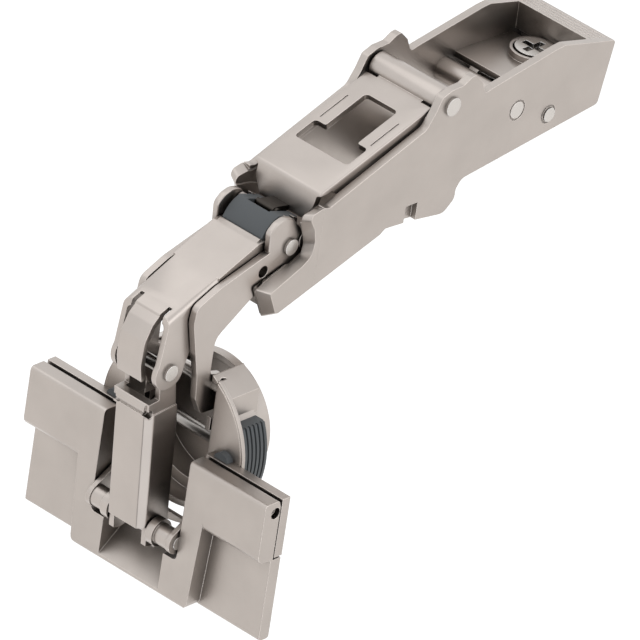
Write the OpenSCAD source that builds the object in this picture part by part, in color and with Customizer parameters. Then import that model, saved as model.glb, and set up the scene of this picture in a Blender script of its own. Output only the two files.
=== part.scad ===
// Concealed cup hinge for wide opening doors, shown fully open.
// X runs along the cup's axis into the door, Y along the hinge pins, Z up the door.
// The origin is the cup's centre on the face of the door.

/* [Cup] */
// Diameter of the cup
cup_d = 35; // [33:0.5:37]
// Depth of the cup behind the door face
cup_depth = 12.4; // [11:0.2:14]
// Wall of the cup
cup_wall = 1.2; // [0.8:0.1:1.6]
// Width of the open slot in the cup's front
mouth_w = 18.2; // [17.4:0.2:20]
// Depth of the ribbed clamps from the door face
clamp_depth = 7; // [5:0.1:8]
// Radial thickness of the ribbed clamps
clamp_t = 2.2; // [1.6:0.1:2.6]
// Height of the ribs on the clamps
rib_h = 0.5; // [0.3:0.1:0.8]
// Number of ribs on each clamp
rib_count = 6; // [3:1:8]

/* [Clamp lever] */
// Width of the lever over both wings
lever_w = 59.6; // [56:0.2:64]
// Height of the lever
lever_h = 29.6; // [27:0.2:32]
// Height of its thick upper barrel
barrel_h = 12.4; // [11:0.2:14]
// Distance of the lever's front from the door face
lever_front = 6.5; // [5.5:0.1:8]
// Distance of the wings' front from the door face
wing_front = 2.9; // [2.4:0.1:3.6]
// Width of the lever's thick middle
middle_w = 29.8; // [27:0.2:34]
// Width of the opening for the links
gate_w = 21.8; // [21.8:0.2:24]
// Depth of that opening from the top edge
gate_h = 20.9; // [20:0.1:22]
// Radius of the pin that the lever turns on
axle_r = 0.9; // [0.7:0.1:1]

/* [Pivots] */
// Front pin of the cup, X
front_x = -6.5; // [-7:0.1:-6]
// Front pin of the cup, Z
front_z = -16; // [-16.5:0.1:-15.5]
// Rear pin of the cup, X
rear_x = 1.5; // [1:0.1:2]
// Rear pin of the cup, Z
rear_z = 13; // [12.5:0.1:13.5]
// Pin of cup link and front link, X
knee_x = -9.8; // [-10.3:0.1:-9.3]
// Pin of cup link and front link, Z
knee_z = 18.3; // [17.8:0.1:18.8]
// Centre pin of elbow and front link, X
centre_x = 16.4; // [16:0.1:16.8]
// Centre pin of elbow and front link, Z
centre_z = 37; // [36.6:0.1:37.4]
// Hidden pin of elbow and arm, X
nose_x = 20.6; // [20.3:0.1:20.9]
// Hidden pin of elbow and arm, Z
nose_z = 37.4; // [37:0.1:37.8]
// Pin of top link and front link, X
tail_x = 17.3; // [17:0.1:17.6]
// Pin of top link and front link, Z
tail_z = 41.5; // [41.3:0.1:41.9]
// Top pin of arm and top link, X
top_x = 52.5; // [51.5:0.1:53.5]
// Top pin of arm and top link, Z
top_z = 56.4; // [55.8:0.1:57]

/* [Links] */
// Radius of the hinge pins
pin_r = 1.3; // [1:0.05:1.4]
// Sheet thickness of the links
sheet = 1.1; // [0.9:0.05:1.2]
// Half width over the cup link's cheeks at its upper pin
inner_half = 4.35; // [4:0.05:4.4]
// Half width of the front link
front_half = 5.7; // [5.6:0.05:5.75]
// Half width over the elbow plates
elbow_half = 7.25; // [7.1:0.05:7.3]
// Half width of the top link
top_half = 8.2; // [8:0.05:8.3]
// Half width of the arm
arm_half = 10.2; // [10.2:0.05:11]
// Wall of the arm's cheeks
arm_wall = 1.6; // [1.2:0.05:1.65]
// Wall of the arm's nose
nose_wall = 2.65; // [2.4:0.05:2.65]
// Radial clearance of a pin in its hole
fit_gap = 0.05; // [0.02:0.01:0.08]

/* [Hidden] */
$fn = 48;

front_pivot = [front_x, front_z];
rear_pivot = [rear_x, rear_z];
knee_pivot = [knee_x, knee_z];
centre_pivot = [centre_x, centre_z];
nose_pivot = [nose_x, nose_z];
tail_pivot = [tail_x, tail_z];
top_pivot = [top_x, top_z];
cup_r = cup_d / 2;
lower_r = 3.6;
upper_r = 3.2;
head_r = 1.6;
head_t = 0.6;
side_gap = 0.3;
bore_r = pin_r + fit_gap;
front_inner = front_half - sheet;
elbow_inner = front_half + 0.2;
arm_inner = arm_half - arm_wall;
link_half = 4.6;
flat_half = 3.5;
slot_gap = 0.25;
rim_t = 0.8;
seat_gap = 0.1;
clamp_r = cup_r - 0.2;
clamp_inner = clamp_r - clamp_t;
knuckle_r = 1.5;
ear_inner = 9.6;
ear_outer = 10.6;
flange_t = 2.1;
axle_x = -3.6;
axle_z = -1.2;
top_edge = 1.2;
low_edge = top_edge - lever_h;
block_depth = clamp_depth + 1;
stud_r = 1;

// Points of the arc that rounds corner b between a and c
function unit(v) = v / norm(v);
function corner(a, b, c, r) =
    let(u = unit(a - b))
    let(v = unit(c - b))
    let(half = acos(max(-1, min(1, u * v))) / 2)
    let(reach = min(r / tan(half), 0.49 * norm(a - b), 0.49 * norm(c - b)))
    let(k = reach * tan(half))
    let(m = b + unit(u + v) * k / sin(half))
    let(s = b + u * reach - m)
    let(e = b + v * reach - m)
    let(a0 = atan2(s[1], s[0]))
    let(raw = atan2(e[1], e[0]) - a0)
    let(turn = raw > 180 ? raw - 360 : (raw < -180 ? raw + 360 : raw))
    [for (i = [0:4]) m + k * [cos(a0 + turn * i / 4), sin(a0 + turn * i / 4)]];
function xz(p) = [p[0], p[1]];
function spot(p, i) = xz(p[(i + len(p)) % len(p)]);
function rounded(p) = [
    for (i = [0:len(p) - 1])
        for (q = p[i][2] > 0 ? corner(spot(p, i - 1), spot(p, i), spot(p, i + 1), p[i][2]) : [spot(p, i)])
            q
];
function along(a, b, t) = a + (b - a) * t;
function heading(a, b) = atan2(b[1] - a[1], b[0] - a[0]);

// A flat shape in X and Z, given a thickness in Y from y on
module plate(y, t) {
    translate([0, y + t, 0])
        rotate([90, 0, 0])
            linear_extrude(t)
                children();
}

// The same plate on both sides of the middle plane, between two half widths
module pair(inner, outer) {
    plate(inner, outer - inner)
        children();
    plate(-outer, outer - inner)
        children();
}

// A shape across the whole width
module across(half) {
    plate(-half, 2 * half)
        children();
}

module rod(p, y0, y1, r) {
    translate([p[0], y1, p[1]])
        rotate([90, 0, 0])
            cylinder(h = y1 - y0, r = r);
}

module disc(p, r) {
    translate(p)
        circle(r);
}

// Folded sheet from a to b, open below, with rounded bends
module channel(a, b, half, wall, drop, bend) {
    translate([a[0], 0, a[1]])
        rotate([0, -heading(a, b), 0])
            rotate([90, 0, 90])
                linear_extrude(norm(b - a))
                    difference() {
                        polygon(rounded([
                            [-half, -drop, 0], [half, -drop, 0],
                            [half, 0, bend], [-half, 0, bend]
                        ]));
                        polygon(rounded([
                            [-half + wall, -drop - 1, 0], [half - wall, -drop - 1, 0],
                            [half - wall, -wall, bend - wall / 2], [-half + wall, -wall, bend - wall / 2]
                        ]));
                    }
}

// CUP
module cup_shell() {
    deep_r = cup_r - 4.7;
    rotate([0, 90, 0])
        difference() {
            union() {
                cylinder(h = rim_t, r = cup_r, $fn = 120);
                translate([0, 0, -seat_gap])
                    cylinder(h = rim_t, r = cup_r - 0.4, $fn = 120);
                cylinder(h = clamp_depth, r = clamp_inner, $fn = 120);
                cylinder(h = cup_depth, r = deep_r, $fn = 90);
            }
            translate([0, 0, rim_t])
                cylinder(h = clamp_depth - 2 * rim_t, r = clamp_inner - cup_wall, $fn = 90);
            translate([0, 0, rim_t])
                cylinder(h = cup_depth - cup_wall - rim_t, r = deep_r - cup_wall, $fn = 90);
        }
}

// Half of the band behind the rim that a clamp fills
module clamp_zone(side, grow) {
    translate([rim_t, side > 0 ? 5 : -cup_r - 2, -cup_r - 1])
        cube([clamp_depth, cup_r - 3, cup_r + 1 + 7.6]);
}

// Faceted block on each side of the notch for the rear pin
module cup_block(side) {
    mirror([0, side > 0 ? 0 : 1, 0])
        rotate([90, 0, 90])
            difference() {
                linear_extrude(block_depth)
                    polygon([
                        [elbow_half + 0.35, 8], [elbow_half + 0.35, cup_r - 1.95], [12.2, cup_r - 4.95],
                        [12.5, 8.1], [12.5, 7.7], [elbow_half + 0.35, 7.7]
                    ]);
                translate([0, 0, rim_t + 1.6])
                    linear_extrude(block_depth - rim_t - 3)
                        polygon([[elbow_half - 1, 9], [elbow_half - 1, 14], [10.6, 12], [10.6, 9]]);
            }
}

module cup_ear() {
    difference() {
        union() {
            disc(front_pivot, 2.3);
            polygon([
                [front_x - 1.1, front_z + 2], [front_x + 1.2, front_z - 1.9],
                [rim_t, -13.4], [rim_t, -9]
            ]);
        }
        disc(front_pivot, pin_r);
    }
}

module cup_body() {
    color([0.74, 0.72, 0.69])
        difference() {
            union() {
                difference() {
                    cup_shell();
                    translate([-1, 0, 0])
                        rotate([90, 0, 90])
                            linear_extrude(rim_t + 2.1)
                                polygon([
                                    [-mouth_w / 2, 24], [-mouth_w / 2, -12.2], [-mouth_w / 3, 1.8 - cup_r],
                                    [mouth_w / 3, 1.8 - cup_r], [mouth_w / 2, -12.2], [mouth_w / 2, 24]
                                ]);
                    translate([-1, -elbow_half - 0.4, 3])
                        cube([11.4, 2 * elbow_half + 0.8, 22]);
                }
                pair(ear_inner, ear_outer)
                    cup_ear();
                cup_block(1);
                cup_block(-1);
                cup_foot_cheeks();
            }
            cup_slot();
        }
}

// Inner cheeks that carry the slot of the rear pin
module cup_foot_cheeks() {
    pair(elbow_half + 0.35, elbow_half + 1.35)
        polygon([
            [rim_t, 4.4], [block_depth, 4.4], [block_depth, 13], [0, 13], [0, 4.4]
        ]);
}

// Clearance slot that the rear pin moves in
module cup_slot() {
    pair(elbow_half - 3, elbow_half + 1.7) {
        disc(rear_pivot, pin_r + 0.6);
        disc(rear_pivot + [-0.46, -4.3], pin_r + 0.6);
        disc(rear_pivot + [0.83, -5.57], pin_r + 0.6);
        disc(rear_pivot + [1.59, -3.74], pin_r + 0.6);
        polygon([
            rear_pivot + [-pin_r - 0.6, 0], rear_pivot + [-pin_r - 1.06, -4.3],
            rear_pivot + [-0.86, -5.6], rear_pivot + [2.5, -5.6],
            rear_pivot + [pin_r + 2.19, -3.74], rear_pivot + [pin_r + 0.6, 0]
        ]);
    }
}

// Plate on the face of the door, with the knuckles that hold the lever
module flange_plate() {
    color([0.74, 0.72, 0.69])
        difference() {
            union() {
                for (s = [-1, 1]) {
                    translate([-flange_t, s > 0 ? ear_outer : -lever_w / 2, -11])
                        cube([flange_t - seat_gap, lever_w / 2 - ear_outer, 11 + top_edge]);
                    plate(s > 0 ? 20 : -24, 4)
                        knuckle_shape();
                }
            }
            rod([axle_x, axle_z], -lever_w, lever_w, axle_r);
        }
}

module knuckle_shape() {
    disc([axle_x, axle_z], knuckle_r);
    polygon([
        [axle_x, axle_z - knuckle_r], [-1, axle_z - knuckle_r],
        [-1, axle_z + knuckle_r - 0.3], [axle_x, axle_z + knuckle_r]
    ]);
}

module lever_axle(side) {
    color([0.6, 0.58, 0.55])
        rod([axle_x, axle_z], side > 0 ? 18.5 : -lever_w / 2 + 2.6, side > 0 ? lever_w / 2 - 2.6 : -18.5, axle_r);
}

module lever_axle_left() {
    lever_axle(1);
}

module lever_axle_right() {
    lever_axle(-1);
}

module cup_front_pin() {
    color([0.78, 0.76, 0.73])
        rod(front_pivot, -10.9, 10.9, pin_r);
}

module pin_bush(side) {
    color([0.72, 0.70, 0.67]) {
        bush_ring(side > 0 ? link_half + 0.3 : -ear_inner, ear_inner - link_half - 0.3, 2.1);
        bush_ring(side > 0 ? link_half + 0.3 : -link_half - 1.9, 1.6, 2.7);
    }
}

module bush_ring(y, t, r) {
    plate(y, t)
        difference() {
            disc(front_pivot, r);
            disc(front_pivot, pin_r);
        }
}

module pin_bush_left() {
    pin_bush(1);
}

module pin_bush_right() {
    pin_bush(-1);
}

// Bent wire of the closing spring inside the cup
module closing_spring() {
    coil_z = 0.4;
    leg_y = elbow_half + 1.2;
    foot_z = -sqrt(pow(clamp_inner - cup_wall - 0.74, 2) - leg_y * leg_y);
    color([0.66, 0.63, 0.6]) {
        rod([4.6, coil_z], -leg_y - 0.6, leg_y + 0.6, 1.3);
        for (s = [-1, 1])
            translate([4.1, s * leg_y, foot_z]) {
                cylinder(h = coil_z - foot_z, r = 0.75);
                sphere(0.75);
            }
    }
}

module clamp_piece(side) {
    color([0.37, 0.38, 0.39])
        intersection() {
            difference() {
                rotate([0, 90, 0])
                    ribbed_ring();
                rotate([0, 90, 0])
                    translate([0, 0, -1])
                        cylinder(h = clamp_depth + 2, r = clamp_inner, $fn = 120);
            }
            clamp_zone(side, 0);
        }
}

module ribbed_ring() {
    pitch = (clamp_depth - rim_t) / rib_count;
    translate([0, 0, rim_t])
        cylinder(h = clamp_depth - rim_t, r = clamp_r - rib_h, $fn = 120);
    for (i = [0:rib_count - 1])
        translate([0, 0, rim_t + pitch * (i + 0.2)])
            cylinder(h = pitch * 0.6, r = clamp_r, $fn = 120);
}

module clamp_left() {
    clamp_piece(1);
}

module clamp_right() {
    clamp_piece(-1);
}

module plug(side) {
    color([0.37, 0.38, 0.39])
        intersection() {
            translate([-1.5, side * 13.6, top_edge - 0.4])
                rotate([0, 90, 0])
                    cylinder(h = 1.5 - seat_gap, r = 1.8);
            translate([-2, -20, top_edge])
                cube([3, 40, 3]);
        }
}

module plug_left() {
    plug(1);
}

module plug_right() {
    plug(-1);
}

// LEVER
module lever_barrel_shape() {
    polygon(rounded([
        [-lever_front, top_edge, 0.8], [-2.9, top_edge, 0.6], [-2.4, -0.2, 1],
        [-2.4, top_edge - barrel_h - 2, 0], [-wing_front, top_edge - barrel_h - 2, 0],
        [-wing_front, top_edge - barrel_h, 0.6], [-lever_front, top_edge - barrel_h, 2.9]
    ]));
}

module clamp_lever() {
    color([0.74, 0.72, 0.69])
        difference() {
            union() {
                across(lever_w / 2)
                    lever_barrel_shape();
                lever_middle();
                across(lever_w / 2)
                    polygon(rounded([
                        [-wing_front, -8, 0], [-2.4, -8, 0], [-2.4, -11.4, 0], [-0.3, -11.4, 0],
                        [-0.3, low_edge, 0.6], [-wing_front, low_edge, 0.6]
                    ]));
            }
            lever_gate();
            for (s = [-1, 1]) {
                plate(s > 0 ? 19.7 : -24.3, 4.6)
                    knuckle_slot();
                rod([axle_x, axle_z], s > 0 ? 18.2 : -lever_w, s > 0 ? lever_w : -18.2, axle_r + 1.5 * fit_gap);
                rod([axle_x, axle_z], s > 0 ? lever_w / 2 - 1.2 : -lever_w, s > 0 ? lever_w : -lever_w / 2 + 1.2, 1.15);
            }
        }
}

module knuckle_slot() {
    disc([axle_x, axle_z], knuckle_r + 0.3);
    polygon([
        [axle_x - knuckle_r - 0.3, axle_z], [axle_x - knuckle_r - 0.3, axle_z - 3.4],
        [0, axle_z - 3.4], [0, axle_z + knuckle_r + 0.1], [axle_x, axle_z + knuckle_r + 0.3]
    ]);
}

module lever_middle() {
    low_half = middle_w / 2 - 0.2;
    intersection() {
        across(middle_w)
            polygon(rounded([
                [-lever_front, top_edge, 0.8], [-3.1, top_edge, 1], [-2.4, -0.2, 1],
                [-2.4, -11.4, 0], [-0.3, -11.4, 0], [-0.3, low_edge, 0.6],
                [-lever_front, low_edge, 0.8]
            ]));
        translate([-20, 0, 0])
            rotate([90, 0, 90])
                linear_extrude(30)
                    polygon(rounded([
                        [-low_half - 1, 5, 0], [-low_half - 1, top_edge - barrel_h, 0],
                        [-low_half, low_edge, 1.6], [low_half, low_edge, 1.6],
                        [low_half + 1, top_edge - barrel_h, 0], [low_half + 1, 5, 0]
                    ]));
    }
}

module lever_gate() {
    translate([-20, 0, 0])
        rotate([90, 0, 90])
            linear_extrude(30)
                polygon(rounded([
                    [-gate_w / 2, 5, 0], [-gate_w / 2, top_edge - gate_h, 1],
                    [gate_w / 2, top_edge - gate_h, 1], [gate_w / 2, 5, 0]
                ]));
    across(7.6)
        polygon([
            [1, top_edge - gate_h - 1.6], [1, 0], [-20, 0], [-20, low_edge + 1],
            [-lever_front, low_edge + 1]
        ]);
    across(1.1)
        polygon([[1, -24], [1, 0], [-2.4, 0], [-2.4, -23.2]]);
}

// LINKS
tilt = heading(front_pivot, knee_pivot) - 90;
link_len = norm(knee_pivot - front_pivot);

module cup_link_shape() {
    disc([0, 0], lower_r);
    disc([0, link_len], upper_r);
    polygon(rounded([
        [-3.6, -0.2, 0.8], [3.4, -1, 1], [4, 22, 3], [3.0, link_len, 0],
        [-1, link_len, 0], [-3.2, link_len - 5, 0], [-3.6, link_len - 6, 0]
    ]));
}

module cup_link_section() {
    difference() {
        polygon(rounded([
            [-3.6, -flat_half, 0.4], [-2.2, -link_half, 0.8], [6, -link_half, 0],
            [6, link_half, 0], [-2.2, link_half, 0.8], [-3.6, flat_half, 0.4]
        ]));
        polygon([
            [-2.5, -flat_half + 0.4], [-1.6, -link_half + sheet], [7, -link_half + sheet],
            [7, link_half - sheet], [-1.6, link_half - sheet], [-2.5, flat_half - 0.4]
        ]);
    }
}

module cup_link_blank() {
    reach = link_len - 9;
    intersection() {
        difference() {
            translate([0, 0, -8])
                linear_extrude(8 + reach)
                    cup_link_section();
            translate([-8, -link_half + sheet, -10])
                cube([20, 2 * link_half - 2 * sheet, 11]);
            translate([-8, -10, -10])
                cube([6, 20, 11]);
        }
        across(10)
            cup_link_shape();
    }
    intersection() {
        translate([0, 0, reach - 0.6])
            linear_extrude(20)
                difference() {
                    translate([-3.4, -inner_half])
                        square([9, 2 * inner_half]);
                    translate([-2.2, -inner_half + sheet])
                        square([9, 2 * inner_half - 2 * sheet]);
                }
        across(10)
            cup_link_shape();
    }
    rod([-2.5, link_len - 7.6], -flat_half, flat_half, 1.35);
}

module cup_link() {
    color([0.74, 0.72, 0.69])
        translate([front_x, 0, front_z])
            rotate([0, -tilt, 0])
                difference() {
                    cup_link_blank();
                    rod([0, 0], -10, 10, bore_r);
                    rod([0, link_len], -10, 10, bore_r);
                    translate([-6, -10, link_len - 6.4])
                        cube([5.2, 20, 12]);
                    for (s = [-1, 1])
                        rod([-3, link_len - 8.6], s > 0 ? flat_half - 0.6 : -link_half - 1, s > 0 ? link_half + 1 : -flat_half + 0.6, 0.8);
                }
}

top_low = [-11.7, 29.6];
top_high = [9.2, 39.2];

module front_link_shape() {
    difference() {
        union() {
            disc(knee_pivot, 3.6);
            disc(centre_pivot, 3.2);
            polygon(rounded([
                knee_pivot_at(-3.4, -1, 0), knee_pivot_at(3.2, -1.4, 0), [-3.6, 26.5, 4],
                [5, 31, 3], centre_pivot_at(0.6, -3.1, 0), centre_pivot_at(3.1, 0.4, 0),
                tail_at(1.9, 0.5, 0.8), tail_at(0.9, 1.5, 0.8), tail_at(-1.3, 1.1, 0.8),
                tail_at(-2.7, -1.2, 1), [12.9, 38.9, 1.5], [9.6, 38.7, 0.3], [-11.7, 29.6, 0.5]
            ]));
        }
        tail_slot();
    }
}

// Strap that hangs from the front link's end and curls round the knee pin
module knee_strap() {
    across(strap_half)
        polygon(rounded([
            knee_pivot_at(-1.3, 11.5, 0), knee_pivot_at(-3.4, 9.4, 1.5), knee_pivot_at(-4.9, 6.2, 3),
            knee_pivot_at(-5.1, 1.6, 6), knee_pivot_at(-4.3, -2.1, 0.3), knee_pivot_at(-3.3, -1.8, 0.3),
            knee_pivot_at(-4, 1.6, 5), knee_pivot_at(-3.8, 5.9, 2), knee_pivot_at(-2.6, 8.6, 0.8),
            knee_pivot_at(-0.4, 10.3, 0)
        ]));
}

function knee_pivot_at(dx, dz, r) = [knee_x + dx, knee_z + dz, r];
function centre_pivot_at(dx, dz, r) = [centre_x + dx, centre_z + dz, r];
function tail_at(dx, dz, r) = [tail_x + dx, tail_z + dz, r];
function nose_at(dx, dz, r) = [nose_x + dx, nose_z + dz, r];
function top_at(dx, dz, r) = [top_x + dx, top_z + dz, r];

link_pin_r = 0.65;
strap_half = 3;
slot_path = [
    [0, 0], [-0.5, -0.6], [-0.8, -1.1], [-1, -1.6], [-1, -2.2], [-0.7, -2.6], [-0.3, -2.8],
    [0.2, -2.7], [0.5, -2.3], [0.6, -1.6], [0.5, -0.8]
];

module tail_slot() {
    for (p = slot_path)
        disc(tail_pivot + p, link_pin_r + slot_gap);
    polygon([for (p = slot_path) tail_pivot + p]);
}

module front_link() {
    color([0.74, 0.72, 0.69])
        difference() {
            union() {
                intersection() {
                    channel(along(top_low, top_high, -0.3), top_high, front_half, sheet, 40, 1.5);
                    across(front_half + 1)
                        front_link_shape();
                }
                intersection() {
                    pair(front_inner, front_half)
                        front_link_shape();
                    translate([0, -20, 0])
                        cube([60, 40, 80]);
                }
                knee_strap();
            }
            rod(knee_pivot, -front_half - 1, front_half + 1, pin_r);
            across(front_inner)
                polygon([[8.4, 38.7], [12, 39.4], [12, 46], [8.4, 46]]);
            for (s = [-1, 1])
                translate([top_low[0], s * (strap_half + 0.45), top_low[1]])
                    rotate([0, -24.7, 0])
                        translate([-3, -0.45, -3])
                            cube([5.4, 0.9, 5]);
        }
}

module front_link_pin() {
    color([0.8, 0.78, 0.75]) {
        rod(knee_pivot, -front_half - 0.05, front_half + 0.05, pin_r);
        rod(knee_pivot, -front_half - head_t, -front_half, head_r);
        rod(knee_pivot, front_half, front_half + head_t, head_r);
    }
}

module centre_roller() {
    color([0.37, 0.38, 0.39])
        difference() {
            union() {
                rod(centre_pivot, -front_inner, front_inner, 3.95);
                across(front_inner)
                    polygon([
                        centre_pivot + [-6.6, 1.6], centre_pivot + [-3.3, 2.3],
                        centre_pivot + [-1.4, 1], centre_pivot + [-4.4, -1.5],
                        centre_pivot + [-6.4, 0.2]
                    ]);
            }
            across(front_inner + 1)
                union() {
                    for (p = slot_path)
                        disc(tail_pivot + p, link_pin_r + slot_gap);
                    polygon([for (p = slot_path) tail_pivot + p]);
                }
            across(2.5) {
                for (p = slot_path)
                    disc(tail_pivot + p, 2.5);
                polygon([for (p = slot_path) tail_pivot + p]);
                polygon([[12.6, 40], [20, 39.6], [20, 50], [12.6, 50]]);
            }
            across(front_inner + 1)
                polygon([
                    centre_pivot + [0.2, 13], centre_pivot + [0.2, 0.2], centre_pivot + [2.2, -0.8],
                    centre_pivot + [2.2, -7], centre_pivot + [14, -7], centre_pivot + [14, 13]
                ]);
        }
}

module centre_pin(side) {
    color([0.8, 0.78, 0.75]) {
        rod(centre_pivot, side > 0 ? front_half : -elbow_half - 0.1, side > 0 ? elbow_half + 0.1 : -front_half, pin_r);
        rod(centre_pivot, side > 0 ? elbow_half + 0.05 : -elbow_half - 0.65, side > 0 ? elbow_half + 0.65 : -elbow_half - 0.05, head_r);
    }
}

module centre_pin_left() {
    centre_pin(1);
}

module centre_pin_right() {
    centre_pin(-1);
}

module elbow_outline() {
    polygon(rounded([
        [13.6, 38.4, 1], [14.4, 41, 1.2], [17.6, 41.6, 1.8], [19.4, 39, 1], [22, 38.6, 0.6],
        [22, 35.7, 1], [17, 33.4, 2], [7.6, 28.6, 4], [-0.4, 23, 3], [-0.4, 15.7, 0.8],
        [3.6, 14.6, 1], [3.6, 12.4, 1], [2.5, 7.6, 1], [-1.5, 7.8, 1], [-3.4, 11.3, 1], [-3.9, 16, 4],
        [-6.9, 28, 4], [-6.5, 31.1, 2], [-1, 33.6, 6], [11.5, 37.2, 2]
    ]));
}

module elbow_plate(side) {
    y0 = side > 0 ? elbow_inner : -elbow_half;
    y1 = side > 0 ? elbow_half : -elbow_inner;
    color([0.74, 0.72, 0.69])
        difference() {
            union() {
                plate(y0, y1 - y0)
                    elbow_outline();
                rod(centre_pivot, y0, y1, 3.3);
                rod(nose_pivot, y0, y1, 2.1);
            }
            rod(centre_pivot, y0 - 1, y1 + 1, bore_r);
            rod(nose_pivot, y0 - 1, y1 + 1, stud_r + fit_gap);
            rod(rear_pivot, y0 - 1, y1 + 1, pin_r);
            rod([10.1, 33.6], y0 - 1, y1 + 1, 1.2);
        }
}

module elbow_left() {
    elbow_plate(1);
}

module elbow_right() {
    elbow_plate(-1);
}

module elbow_foot_pin() {
    color([0.8, 0.78, 0.75])
        rod(rear_pivot, -elbow_half - 1.6, elbow_half + 1.6, pin_r);
}

// TOP LINK
plate_low = [22, 46.5];
plate_high = [top_x - 2.1, top_z - 0.04];
roll_r = 2.9;
roll_at = [22.9, 43.7];

module top_link_sheet() {
    span = norm(plate_high - plate_low);
    translate([plate_low[0], 0, plate_low[1]])
        rotate([0, -heading(plate_low, plate_high), 0])
            difference() {
                union() {
                    translate([0, -top_half, -1.2])
                        cube([span, 2 * top_half, 1.2]);
                    for (s = [-1, 1])
                        translate([3, s > 0 ? top_half - 0.9 : -top_half, -2.6])
                            cube([span - 6, 0.9, 2.6]);
                }
                translate([0, 0, -4])
                    linear_extrude(8)
                        polygon(rounded([
                            [8.7, -6.1, 0.6], [13.4, -6.1, 0.6], [13.4, -3.8, 0.5], [24, -3.8, 1],
                            [24, 3.8, 1], [13.4, 3.8, 0.5], [13.4, 6.1, 0.6], [8.7, 6.1, 0.6]
                        ]));
                for (s = [-1, 1]) {
                    translate([14.6, s * 6.1 - 0.15, -0.15])
                        cube([7.4, 0.3, 1]);
                    translate([span - 1.2, s * 6.9 - 1.4, -4])
                        cube([4, 2.8, 8]);
                }
            }
}

// Front of the top link, bent down over the roller and narrowed towards its lower corners
module top_link_flap() {
    intersection() {
        across(top_half)
            difference() {
                disc(roll_at, roll_r);
                disc(roll_at, roll_r - 1.2);
                polygon([
                    roll_at, roll_at + [12, 3.6], roll_at + [8, -12], roll_at + [0.4, -12]
                ]);
            }
        translate([0, 0, 0])
            rotate([90, 0, 90])
                linear_extrude(40)
                    polygon(rounded([
                        [-top_half + 0.4, 50, 0], [-top_half + 0.4, 46.4, 1], [-4.3, 44.6, 1.5],
                        [-4.3, 38, 0], [4.3, 38, 0], [4.3, 44.6, 1.5],
                        [top_half - 0.4, 46.4, 1], [top_half - 0.4, 50, 0]
                    ]));
    }
}

module top_link() {
    color([0.74, 0.72, 0.69])
        difference() {
            union() {
                top_link_sheet();
                top_link_flap();
                across(2)
                    union() {
                        disc(tail_pivot, 1.8);
                        polygon([
                            tail_pivot + [-0.5, 1.1], tail_pivot + [0.6, -1.2],
                            roll_at + [-1, -1.8], roll_at + [-2, 1]
                        ]);
                    }
                across(top_half)
                    disc(top_pivot, 2.7);
            }
            rod(top_pivot, -12, 12, bore_r);
            rod(tail_pivot, -12, 12, link_pin_r);
        }
}

module link_pin() {
    color([0.8, 0.78, 0.75])
        rod(tail_pivot, -front_half, front_half, link_pin_r);
}

// ARM
module arm_shape() {
    polygon(rounded([
        [10.5, 30.3, 0.6], nose_at(-3.8, -3.3, 1.5), nose_at(-1.3, -1.6, 1.2), nose_at(-1.3, 2.6, 1),
        nose_at(-1.7, 5.3, 0.8), nose_at(-0.1, 7.5, 1.2), nose_at(1.9, 7, 1), top_at(-6, -3.2, 2),
        top_at(-4.1, -0.3, 1), top_at(-2.8, 2.4, 1), top_at(-0.3, 3.3, 1), top_at(2.6, 3.4, 1),
        top_at(4.5, 4.5, 0.5), top_at(5.7, 4.7, 0.5), top_at(7.7, 2.8, 1), top_at(9.1, -0.2, 1),
        top_at(10.8, 0.3, 0.5), [80.5, 59.8, 2], [82.6, 60.0, 1], [91, 58.1, 1], [97, 56.8, 0.6],
        [94.6, 44.2, 1], [58.6, 39.4, 2], [57.4, 37.6, 1.4], [57.4, 35.6, 1.6], [54.8, 33.3, 2.4],
        [47.5, 34.3, 0.5], [43.4, 34.7, 0.5], [39, 35, 1], [37.8, 34.1, 0.5], [11.5, 25.4, 0.8]
    ]));
}

module arm_floor() {
    across(arm_half - 0.5)
        polygon([
            [11.5, 25.7], [31, 32.1], [37.9, 34.5], [44, 35], [44, 36.2], [37.6, 35.9], [30.6, 33.7], [11.2, 27.4]
        ]);
    across(arm_half - 0.5)
        polygon([[55.4, 34], [56.8, 36.2], [58.4, 39.6], [62, 40.1], [62, 41.6], [57.4, 41], [54.6, 35]]);
}

// Thicker wall of the nose, drawn forward on its inner side
module nose_wall_shape() {
    polygon(rounded([
        [7.4, 31.3, 0.6], nose_at(-4, -3.4, 1), nose_at(-2.6, -1.6, 1), nose_at(-2.8, 2.2, 1),
        nose_at(-2.8, 4.4, 1), nose_at(0.4, 4.2, 1), nose_at(3.4, 3.2, 0), [32, 40.4, 0], [32, 34, 0], [10.6, 24.7, 0.6]
    ]));
}

module nose_slant(side) {
    mirror([0, side > 0 ? 0 : 1, 0]) {
        translate([0, 0, 35.6])
            linear_extrude(20)
                polygon([
                    [nose_x - 3.4, arm_half - 1.8], [nose_x - 1.2, arm_half - 0.35],
                    [nose_x - 1.2, arm_half + 2], [nose_x - 8, arm_half + 2], [nose_x - 8, arm_half - 1.8]
                ]);
    }
}

module arm_nose() {
    difference() {
        pair(elbow_half + 0.3, arm_half - 0.3)
            nose_wall_shape();
        pair(elbow_half - 1, arm_half - 1.9)
            disc(nose_pivot, 6.2);
        nose_slant(1);
        nose_slant(-1);
    }
}

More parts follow.
